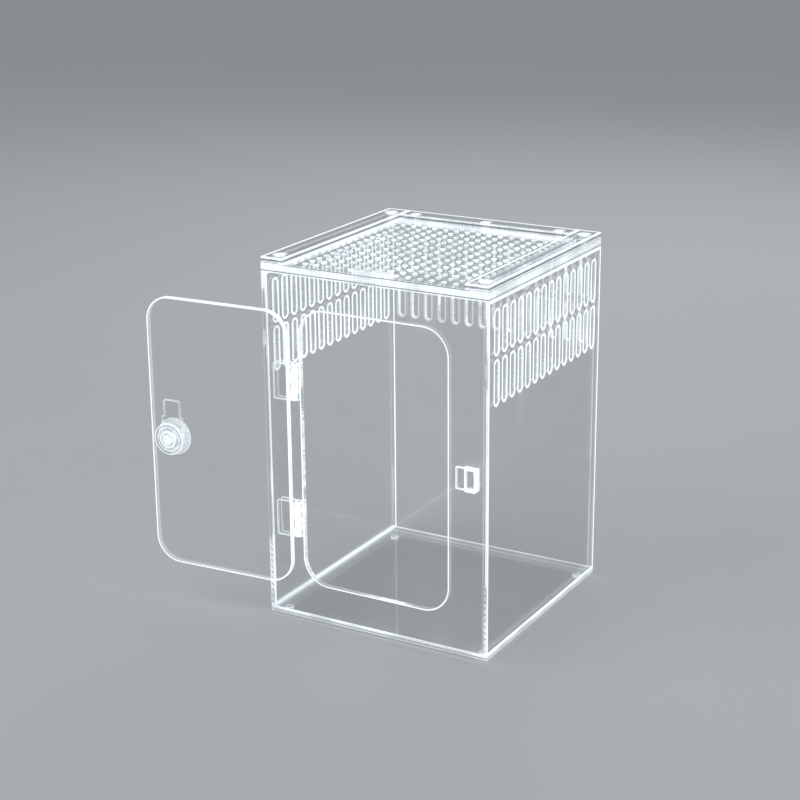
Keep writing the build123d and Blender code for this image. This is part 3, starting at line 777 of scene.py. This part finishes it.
def screwArrays(settings, columns=64):
    # head: rings of points over a flat face, a small bevel and a flank; shank: a one-start thread, its
    # radius falling and rising once per pitch while the phase turns with the angle
    headRings = np.linspace(0, settings["head"] - 0.00022, 22)
    flank = np.array([(settings["head"], -0.00022), (settings["head"], 0.00015 - settings["depth"]),
                      (settings["head"] - 0.00015, -settings["depth"]), (settings["shank"], -settings["depth"])])
    levels = np.arange(-settings["depth"] - 0.0001, 0.0002 - settings["length"], -settings["pitch"] / 8)
    wide = np.ones((1, columns))
    t = np.arange(columns) / columns
    phase = levels[:, None] / settings["pitch"] - t[None, :]
    thread = settings["shank"] - settings["thread"] * (0.5 - 0.5 * np.cos(tau * phase))
    headLevel, headGlow = recessed(
        headRings[:, None] * wide, 0 * headRings[:, None] * wide, 0.97 + 0 * headRings[:, None] * wide,
        settings["recess"], settings["recessHalf"], settings["recessDepth"], 2)
    tip = np.array([[settings["shank"] * 0.6], [0.0]])
    radius = np.concatenate([headRings[:, None] * wide, flank[:, :1] * wide, thread, tip * wide])
    level = np.concatenate([headLevel, flank[:, 1:] * wide, levels[:, None] * wide,
                            np.full((2, columns), -settings["length"])])
    crest = (thread - settings["shank"] + settings["thread"]) / settings["thread"]
    # glow: painted highlight on the head, its flank and the thread's crests, painted shade in the thread's roots
    glow = np.concatenate([headGlow, np.ones((4, columns)), 0.35 + 0.6 * crest, np.full((2, columns), 0.8)])
    return radius, level, glow


# Screws: sizes in metres, levels down from the top of the covers
spotCell = 0.03
screwSettings = {
    "corner_screws": {"head": 0.0040, "depth": 0.0018, "shank": 0.0020, "length": 0.0114, "pitch": 0.0009,
                      "thread": 0.00022, "recess": 0.0026, "recessHalf": 0.0004, "recessDepth": 0.0009},
    "back_strip_screws": {"head": 0.0030, "depth": 0.0014, "shank": 0.0015, "length": 0.0114, "pitch": 0.0007,
                          "thread": 0.00018, "recess": 0.0019, "recessHalf": 0.00035, "recessDepth": 0.0007},
}


def nodePlaces(node):
    # the middle of every separate solid of a node, from the clusters of its points in plan, at its top
    data = frame["nodes"][node].data
    points = np.empty(len(data.vertices) * 3)
    data.vertices.foreach_get("co", points)
    points = points.reshape(-1, 3)
    level = points[:, 2].max()
    cells, owner = np.unique(np.round(points[:, :2] / spotCell).astype(int), axis=0, return_inverse=True)
    owner = owner.ravel()
    high = np.array([points[owner == i, :2].max(0) for i in range(len(cells))])
    low = np.array([points[owner == i, :2].min(0) for i in range(len(cells))])
    return np.column_stack([(high + low) / 2, np.full(len(cells), level)])


plainFrame = (sideways, ahead, upright)
for node, settings in screwSettings.items():
    places = nodePlaces(node)
    print(node, "places:", len(places))
    turnedPiece("threaded." + node, node, screwNylon, *screwArrays(settings), places, plainFrame)

# Bolt of the latch: its slotted head faces the cabin, its shank runs out to the cap nut; the middle of
# the head is slightly sunk, and the rest is (radius, level, glow) in millimetres
boltSettings = {
    "middle": {"radius": 4.0, "rings": 18, "level": -11.40, "sink": 0.05},
    "slot": (0.0030, 0.0005, 0.0011),
    # glow: painted highlight on the sunk middle and the rim, painted shade (0.05) in the groove round the middle
    "rest": ((4.3, -11.20, 0.05), (5.7, -11.20, 0.05), (6.1, -11.65, 1), (6.8, -11.65, 1), (7.0, -11.40, 1),
             (7.0, -9.90, 1), (6.8, -9.65, 1), (2.5, -9.65, 0.4), (2.5, 6.15, 0.35), (0, 6.15, 0.35)),
}
middle = boltSettings["middle"]
rings = np.linspace(0, middle["radius"], middle["rings"])
sunk = middle["level"] - middle["sink"] * rings / middle["radius"]
boltProfile = np.concatenate([np.stack([rings, sunk, np.ones_like(rings)], -1), boltSettings["rest"]])
radius, level, glow = profileArrays(boltProfile, latchSettings["columns"])
level, glow = recessed(radius, level, glow, *boltSettings["slot"], 1, sign=-1)
turnedPiece("turned.latch_bolt", "latch_bolt", discPlastic, radius, level, glow, [latchPlace], latchFrame)

# Bumper feet: a soft cylinder with a rounded rim at the floor; glow 1 on the rim is a painted highlight
footSettings = {
    "columns": 48,
    "profile": ((0, 0, 0.35), (2.5, 0, 0.35), (3.0, 0, 1), (3.4, 0, 1), (3.5, -0.15, 1), (3.5, -1.6, 0.7),
                (3.35, -2.1, 0.95), (3.0, -2.4, 1), (2.6, -2.5, 1), (2.1, -2.5, 0.4), (0, -2.5, 0.35)),
}
footArrays = profileArrays(footSettings["profile"], footSettings["columns"])
turnedPiece("turned.feet", "feet", bumperClear, *footArrays, nodePlaces("feet"), plainFrame)
print("turned parts made")

# Pale floor that the feet stand on
floorSettings = {
    "reach": 14.0,
    "colour": (0.62, 0.63, 0.635, 1),
    "mottle": 0.03,
    "mottleScale": 3.0,
    "mottleDetail": 6.0,
    "roughness": 0.7,
}
ground = cadBox[0][2]
floorMaterial, tree, shader = newMaterial("floor")
position = addNode(tree, "ShaderNodeTexCoord").outputs["Object"]
mottle = addNode(tree, "ShaderNodeTexNoise", {
    "Vector": position, "Scale": floorSettings["mottleScale"], "Detail": floorSettings["mottleDetail"]})
darker = tuple(value * (1 - floorSettings["mottle"]) for value in floorSettings["colour"][:3]) + (1,)
floorColour = blendColour(tree, mottle.outputs["Fac"], darker, floorSettings["colour"])
tree.links.new(floorColour, shader.inputs["Base Color"])
shader.inputs["Roughness"].default_value = floorSettings["roughness"]
square = np.array([[-1, -1, 0], [1, -1, 0], [1, 1, 0], [-1, 1, 0]], float) * floorSettings["reach"]
floorMesh = bpy.data.meshes.new("floor")
floorMesh.from_pydata((square + [0, 0, ground]).tolist(), [], [[0, 1, 2, 3]])
floorMesh.materials.append(floorMaterial)
floorPiece = bpy.data.objects.new("floor", floorMesh)
scene.collection.objects.link(floorPiece)

# Soft boxes: place, aim, width, height, watts
lightSettings = {
    "key": ((-1.1, -1.3, 1.7), (0, 0, 0.15), 1.4, 1.4, 11),
    "fill": ((1.7, -0.6, 1.1), (0, 0, 0.15), 1.0, 1.4, 5),
    "rim": ((-0.3, 1.7, 1.4), (0, 0, 0.15), 1.8, 0.8, 8),
}
worldSettings = {"colour": (0.86, 0.90, 0.94, 1), "strength": 0.44}


def softBox(name, place, aim, width, height, watts):
    data = bpy.data.lights.new(name, "AREA")
    data.shape = "RECTANGLE"
    data.size = width
    data.size_y = height
    data.energy = watts
    light = bpy.data.objects.new(name, data)
    turn = (Vector(place) - Vector(aim)).to_track_quat("Z", "Y").to_matrix().to_4x4()
    light.matrix_world = Matrix.Translation(place) @ turn
    scene.collection.objects.link(light)


for name, values in lightSettings.items():
    softBox(name, *values)
world = bpy.data.worlds.new("studio")
scene.world = world
world.use_nodes = True
world.node_tree.nodes["Background"].inputs["Color"].default_value = worldSettings["colour"]
world.node_tree.nodes["Background"].inputs["Strength"].default_value = worldSettings["strength"]
print("studio lit")
